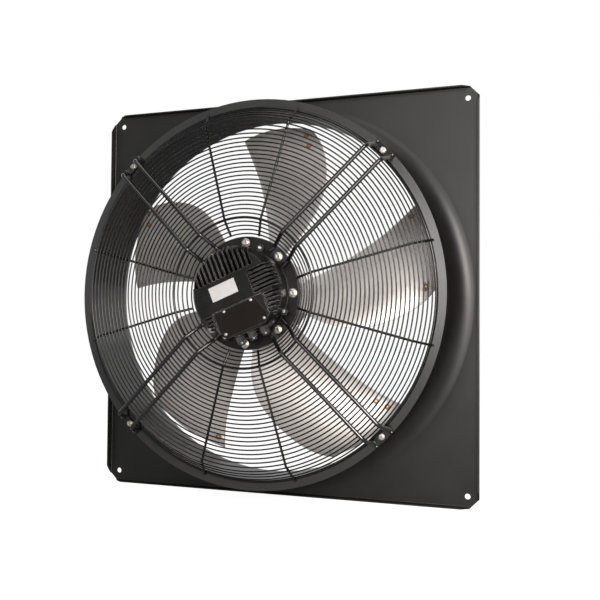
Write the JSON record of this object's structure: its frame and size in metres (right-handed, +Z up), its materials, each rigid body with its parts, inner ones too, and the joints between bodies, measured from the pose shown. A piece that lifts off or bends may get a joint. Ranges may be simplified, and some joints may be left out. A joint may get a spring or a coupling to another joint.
{
  "type": "axial fan",
  "caption": "Square-plate axial wall fan: deep nozzle ring, welded wire guard on twin-rod arms, external-rotor motor with finned electronics housing, spinning blade wheel.",
  "frame": {"origin": "centre of the four corner holes on the rear mounting face of the square plate, where the fan axis crosses it", "axes": "+Z up; the fan axis lies along Y, with the motor and guard on the -Y side and the inlet mouth facing +Y; +X to the right when facing the guard"},
  "size_m": [1.07, 0.3316, 1.07],
  "materials": {
    "black_coat": "satin black powder coat on pressed steel",
    "black_wire": "black powder coat on steel wire",
    "black_rod": "glossy black powder coat on steel rod",
    "zinc_steel": "bright zinc plate",
    "black_casting": "black painted die casting",
    "bearing_steel": "ground bearing steel",
    "core_steel": "stacked electrical sheet",
    "copper_wire": "enamelled copper winding",
    "black_rubber": "matt black rubber",
    "black_plastic": "glossy black moulded plastic",
    "dark_screw": "dark zinc plate",
    "green_board": "coated circuit board",
    "capacitor_sleeve": "shrink sleeve over aluminium can",
    "grey_plastic": "moulded terminal block",
    "blank_label": "blank satin label film",
    "brass_cage": "pressed brass cage",
    "rotor_paint": "dark painted rotor cup",
    "magnet": "sintered magnet",
    "blade_metal": "smooth cast aluminium",
    "copper_rivet": "copper-coloured rivet"
  },
  "bodies": {
    "frame": {"wall_ring": "black_coat", "guard_inner_rings": "black_wire", "guard_middle_rings": "black_wire", "guard_outer_rings": "black_wire", "guard_hoops": "black_wire", "guard_spokes": "black_wire", "support_arm_1": "black_rod", "support_arm_2": "black_rod", "support_arm_3": "black_rod", "support_arm_4": "black_rod", "foot_bolts": "zinc_steel", "foot_nuts": "zinc_steel", "stator_flange": "black_casting", "flange_bolts": "zinc_steel", "flange_washers": "zinc_steel", "flange_nuts": "zinc_steel", "arm_bolts": "zinc_steel", "arm_washers": "zinc_steel", "arm_nuts": "zinc_steel", "bearing_outer_rings": "bearing_steel", "preload_washer": "bearing_steel", "stator_core": "core_steel", "stator_coils": "copper_wire", "electronics_housing": "black_casting", "housing_gasket": "black_rubber", "housing_screws": "zinc_steel", "cover_gasket": "black_rubber", "terminal_cover": "black_plastic", "cover_screws": "dark_screw", "gland_bodies": "black_plastic", "gland_nuts": "black_plastic", "gland_plugs": "black_rubber", "control_board": "green_board", "capacitors": "capacitor_sleeve", "terminal_block": "grey_plastic", "rating_plate": "blank_label"},
    "rotor": {"rotor_can": "rotor_paint", "rotor_magnets": "magnet", "impeller_hub": "blade_metal", "shaft": "bearing_steel", "shaft_clip": "bearing_steel", "bearing_inner_rings": "bearing_steel", "blade_1": "blade_metal", "blade_2": "blade_metal", "blade_3": "blade_metal", "blade_4": "blade_metal", "blade_5": "blade_metal", "tip_rivets": "copper_rivet"},
    "bearing_cage": {"bearing_balls": "bearing_steel", "bearing_cages": "brass_cage"}
  },
  "joints": [
    {"name": "impeller_spin", "type": "hinge", "parent": "frame", "child": "rotor", "pos_m": [0, -0.15, 0], "axis": [0, 1, 0], "continuous": true},
    {"name": "cage_spin", "type": "hinge", "parent": "frame", "child": "bearing_cage", "pos_m": [0, -0.15, 0], "axis": [0, 1, 0], "continuous": true}
  ],
  "couplings": [
    {"joint": "cage_spin", "follows": "impeller_spin", "ratio": 0.3978}
  ]
}
